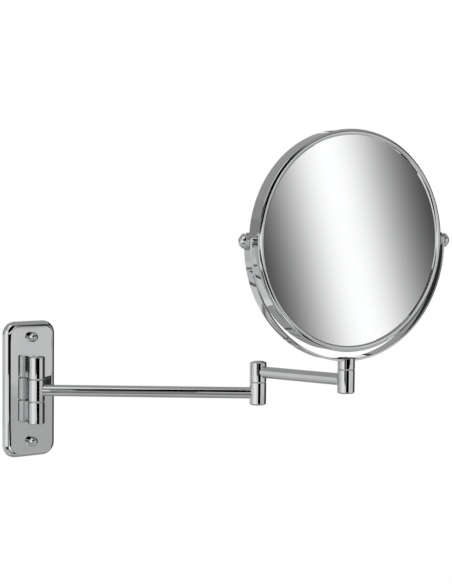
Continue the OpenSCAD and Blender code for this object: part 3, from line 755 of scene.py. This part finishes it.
def graded(name, stops, slant, half_w, half_h, peak):
    """A glow whose level follows stops of (millimetres, level) along a slanted line across the card."""
    material, tree, emit = glow(name, peak)
    coords = tree.nodes.new("ShaderNodeUVMap")
    axis = tree.nodes.new("ShaderNodeVectorMath")
    axis.operation = "DOT_PRODUCT"
    reach = half_w * cos(slant) + half_h * abs(sin(slant))
    axis.inputs[1].default_value = (half_w * cos(slant) / reach, half_h * sin(slant) / reach, 0)
    shift = tree.nodes.new("ShaderNodeMath")
    shift.operation = "ADD"
    shift.inputs[1].default_value = 0.5 - 0.5 * (half_w * cos(slant) + half_h * sin(slant)) / reach
    ramp = tree.nodes.new("ShaderNodeValToRGB")
    ramp.color_ramp.interpolation = "B_SPLINE"
    elements = ramp.color_ramp.elements
    for k, (place, value) in enumerate(stops):
        at = 0.5 + 0.5 * place / reach
        element = elements[k] if k < 2 else elements.new(at)        # a new ramp has two elements
        element.position = at
        element.color = (value / peak, value / peak, value / peak, 1)
    link(tree, coords.outputs["UV"], axis.inputs[0])
    link(tree, axis.outputs["Value"], shift.inputs[0])
    link(tree, shift.outputs["Value"], ramp.inputs["Fac"])
    link(tree, ramp.outputs["Color"], emit.inputs["Color"])
    return material


def card(name, centre, across, half_w, upward, half_h, level):
    """A flat card, its level a number or a material."""
    a, u = Vector(across).normalized() * half_w, Vector(upward).normalized() * half_h
    c = Vector(centre)
    corners = [(c + a * i + u * j) * MM for i, j in ((-1, -1), (1, -1), (1, 1), (-1, 1))]
    mesh = bpy.data.meshes.new(name)
    mesh.from_pydata([tuple(p) for p in corners], [], [(0, 1, 2, 3)])
    uv = mesh.uv_layers.new()
    for k, place in enumerate(((0, 0), (1, 0), (1, 1), (0, 1))):
        uv.data[k].uv = place
    mesh.materials.append(level if isinstance(level, bpy.types.Material) else glow(name, level)[0])
    obj = bpy.data.objects.new(name, mesh)
    scene.collection.objects.link(obj)
    obj.visible_camera = obj.visible_diffuse = obj.visible_shadow = False
    obj.visible_transmission = obj.visible_volume_scatter = False


def bearing(azimuth):
    """The level direction towards an azimuth, and the one to its right."""
    a = radians(azimuth)
    return Vector((sin(a), -cos(a), 0)), Vector((cos(a), sin(a), 0))


def far_card(name, left, right, low, high, level, distance=3000):
    """A card between two azimuths and two elevations, in degrees, seen from the centre."""
    toward, across = bearing((left + right) / 2)
    low_z, high_z = distance * tan(radians(low)), distance * tan(radians(high))
    centre = CENTRE + toward * distance
    centre.z = (low_z + high_z) / 2
    card(name, centre, across, distance * tan(radians(right - left) / 2), UP, (high_z - low_z) / 2, level)


def upright_card(name, start, stop, low, high, level):
    """A card that stands between two places (x, y) and two heights."""
    a, b = Vector((*start, 0)), Vector((*stop, 0))
    centre = (a + b) / 2
    centre.z = (low + high) / 2
    card(name, centre, b - a, (b - a).length / 2, UP, (high - low) / 2, level)


# A small wall of cards in front on the left, at most 160 mm to each side of its middle
FRONT_AT, FRONT_ACROSS, FRONT_HALF = Vector((-507, -761, 0)), bearing(-41)[1], 160


def front_card(name, low, high, level, left=-FRONT_HALF):
    middle = FRONT_AT + FRONT_ACROSS * (FRONT_HALF + left) / 2
    card(name, middle + UP * (low + high) / 2, FRONT_ACROSS, (FRONT_HALF - left) / 2,
         UP, (high - low) / 2, level)


# Above and below
LEFT_TOWARD, LEFT_ACROSS = bearing(-78)
card("ceiling_card", CENTRE + UP * SKY_Z, (1, 0, 0), 1960, (0, 1, 0), 1960, 0.46)
card("ceiling_left", CENTRE + LEFT_TOWARD * 1115 + UP * 980, LEFT_ACROSS, 350, LEFT_TOWARD, 785, 1.2)
card("floor_card", CENTRE + UP * GROUND_Z, (1, 0, 0), 1500, (0, 1, 0), 1500, 0.68)
card("floor_shade", (725, 525, GROUND_Z + 20), (1, 0, 0), 875, (0, 1, 0), 825, 0.42)

# In front on the left: dark flags, bright slots between them, and a flag overhead
TOP_TOWARD, TOP_ACROSS = bearing(-33)
front_card("front_flag_high", 190, 990, 0.0, -125)
front_card("front_slot", 50, 190, 1.25, 70)
upright_card("front_slot_left", (-628, -656), (-454, -807), 50, 190, 0.42)
card("front_flag_top", (-329, -1039, 985), TOP_ACROSS, 310, TOP_TOWARD, 450, 0.0)
front_card("front_flag_middle", -92, 50, 0.05)
front_card("front_flag_low", -890, -168, 0.28)

# A long wall from behind the camera to the right, the corner at its end, and a flag on the floor
WALL_LEFT, WALL_RIGHT, CORNER_END = (-690, -1350), (175, -773), (330, -830)
upright_card("front_flag_right", WALL_LEFT, WALL_RIGHT, 190, 980, 0.0)
upright_card("front_slot_right", (-700, -1370), (175, -785), 40, 200, 1.25)
upright_card("front_flag_low_right", WALL_LEFT, WALL_RIGHT, -230, 50, 0.0)
upright_card("front_flag_corner", WALL_RIGHT, CORNER_END, -30, 60, 0.0)
upright_card("front_low_light", WALL_LEFT, WALL_RIGHT, -640, -230, 1.25)
upright_card("front_flag_corner_low", WALL_RIGHT, CORNER_END, -850, -170, 0.05)
card("floor_flag", (125, -1210, GROUND_Z + 20), (1, 0, 0), 455, (0, 1, 0), 490, 0.08)

# Two small flags. The near one draws the black line on the long tube beside the hinge.
# Both also show on the head's left edge, the far one only faintly.
upright_card("tube_flag_near", (-320, -285), (-255, -420), 185, 370, 0.0)
upright_card("tube_flag_far", (-628, -656), (-601, -679), 380, 620, 0.0)

# Far away, on all sides
far_card("right_flag", 63, 137, -30, 27, 0.06)
far_card("right_flag_high", 64, 137, 24, 40, 0.05, 1150)
far_card("front_right_card", 14, 62.5, -7.7, 24, 0.87, 3100)
far_card("front_right_step", 14, 62.5, -8.3, -7.7, 0.74, 3100)
far_card("front_right_low", 14, 62.5, -30, -8.3, 0.63, 3100)
far_card("front_right_high", 8, 64, 24, 50, 0.20, 1180)
far_card("left_panel", -96, -57, -30, 27, 1.28)
far_card("left_flag_low", -98, -34, -44, -17, 0.05, 1150)
far_card("left_rear_card", -126, -100, -38, 19, 0.88, 3100)
far_card("rear_left_low", -175, -127, -31, -9, 0.85)
far_card("rear_left_step", -175, -127, -9, -2.5, 0.72)
far_card("rear_left_card", -175, -127, -2.5, 14, 0.35)
far_card("rear_left_high", -175, -127, 14, 27, 0.42)
far_card("rear_right_card", 138, 178, -50, -12, 0.35)

# What the flat mirror shows from the photo's side: a soft light that fades to both sides as a bell curve,
# its values in millimetres across the card and chosen to follow the fade in the photo
GLOW_PEAK, GLOW_MIDDLE, GLOW_SPREAD = 1.06, -10, 73
GLOW_REACH, GLOW_STEP = 180, 20
GLOW_WHITE = 1.07       # the level that white on the ramp stands for
BACKDROP_HALF_W, BACKDROP_HALF_H, BACKDROP_SLANT = 176, 208, radians(14)


def glow_level(place):
    return GLOW_PEAK * exp(-((place - GLOW_MIDDLE) / GLOW_SPREAD) ** 2 / 2)


glow_stops = [(place, glow_level(place)) for place in range(-GLOW_REACH, GLOW_REACH + 1, GLOW_STEP)]
card("mirror_backdrop", (922, -1551, 110), bearing(29)[1], BACKDROP_HALF_W, UP, BACKDROP_HALF_H,
     graded("mirror_backdrop", glow_stops, BACKDROP_SLANT, BACKDROP_HALF_W, BACKDROP_HALF_H, GLOW_WHITE))

# ---------------------------------------------------------------- world, floor and lamp (metres)

FLOOR_AT, FLOOR_R = (0.1, -0.15, -0.92), 2.3
LAMP_AT, LAMP_AIM = (-0.9, -1.4, 1.5), (0.1, -0.15, 0.05)


def background(tree, strength):
    node = tree.nodes.new("ShaderNodeBackground")
    node.inputs["Strength"].default_value = strength
    node.inputs["Color"].default_value = (1, 1, 1, 1)
    return node


def larger(tree, a, b):
    node = tree.nodes.new("ShaderNodeMath")
    node.operation = "MAXIMUM"
    link(tree, a, node.inputs[0])
    link(tree, b, node.inputs[1])
    return node.outputs[0]


def studio_world():
    """White to the camera and in reflections, and softer as a light."""
    world = bpy.data.worlds.new("studio_white")
    scene.world = world
    world.use_nodes = True
    tree = world.node_tree
    tree.nodes.clear()
    out = tree.nodes.new("ShaderNodeOutputWorld")
    rays = tree.nodes.new("ShaderNodeLightPath").outputs
    seen = larger(tree, larger(tree, rays["Is Camera Ray"], rays["Is Glossy Ray"]),
                  rays["Is Transmission Ray"])
    white = background(tree, 1.0)
    soft = background(tree, 0.75)
    mix = tree.nodes.new("ShaderNodeMixShader")
    link(tree, seen, mix.inputs["Fac"])
    link(tree, soft.outputs["Background"], mix.inputs[1])
    link(tree, white.outputs["Background"], mix.inputs[2])
    link(tree, mix.outputs["Shader"], out.inputs["Surface"])


def studio_floor(sides=96):
    """A plain pale disc, left out of reflections, which show the floor cards instead."""
    mesh = bpy.data.meshes.new("studio_floor")
    x, y, z = FLOOR_AT
    turns = [2 * pi * k / sides for k in range(sides)]
    mesh.from_pydata([(x + FLOOR_R * cos(t), y + FLOOR_R * sin(t), z) for t in turns], [],
                     [tuple(range(sides))])
    floor = bpy.data.objects.new("studio_floor", mesh)
    scene.collection.objects.link(floor)
    material, _, shader = node_material("pale_floor")
    shader.inputs["Base Color"].default_value = (0.86, 0.86, 0.86, 1)
    shader.inputs["Roughness"].default_value = 0.9
    mesh.materials.append(material)
    floor.visible_glossy = False


def studio_lamp():
    """A soft square lamp from the upper left, which reflections don't show."""
    data = bpy.data.lights.new("soft_lamp", "AREA")
    data.shape = "SQUARE"
    data.size = 1.4
    data.energy = 22.0
    lamp = bpy.data.objects.new("soft_lamp", data)
    scene.collection.objects.link(lamp)
    lamp.location = LAMP_AT
    lamp.rotation_euler = (Vector(LAMP_AIM) - lamp.location).to_track_quat("-Z", "Y").to_euler()
    lamp.visible_glossy = False
    lamp.visible_camera = False


studio_world()
studio_floor()
studio_lamp()

# ---------------------------------------------------------------- camera

# Place (metres), direction and lens come from a least-squares fit of the object's outlines to the photo
CAMERA_AT = (-0.6708, -1.20588, 0.17885)
AZIMUTH, ELEVATION, ROLL = radians(-36.978), radians(3.5365), radians(0.597)
LENS, SENSOR_W = 114.24, 36.0


def photo_camera():
    """The camera, at the photo's viewing angle."""
    back = Vector((sin(AZIMUTH) * cos(ELEVATION), -cos(AZIMUTH) * cos(ELEVATION), sin(ELEVATION)))
    right = (-back).cross(UP).normalized()
    up = right.cross(-back)
    rolled_right = cos(ROLL) * right + sin(ROLL) * up
    rolled_up = -sin(ROLL) * right + cos(ROLL) * up
    data = bpy.data.cameras.new("photo_camera")
    data.sensor_fit = "HORIZONTAL"
    data.sensor_width = SENSOR_W
    data.lens = LENS
    camera = bpy.data.objects.new("photo_camera", data)
    scene.collection.objects.link(camera)
    matrix = Matrix((rolled_right, rolled_up, back)).transposed().to_4x4()
    matrix.translation = CAMERA_AT
    camera.matrix_world = matrix
    scene.camera = camera


photo_camera()
scene.view_settings.view_transform = "Standard"
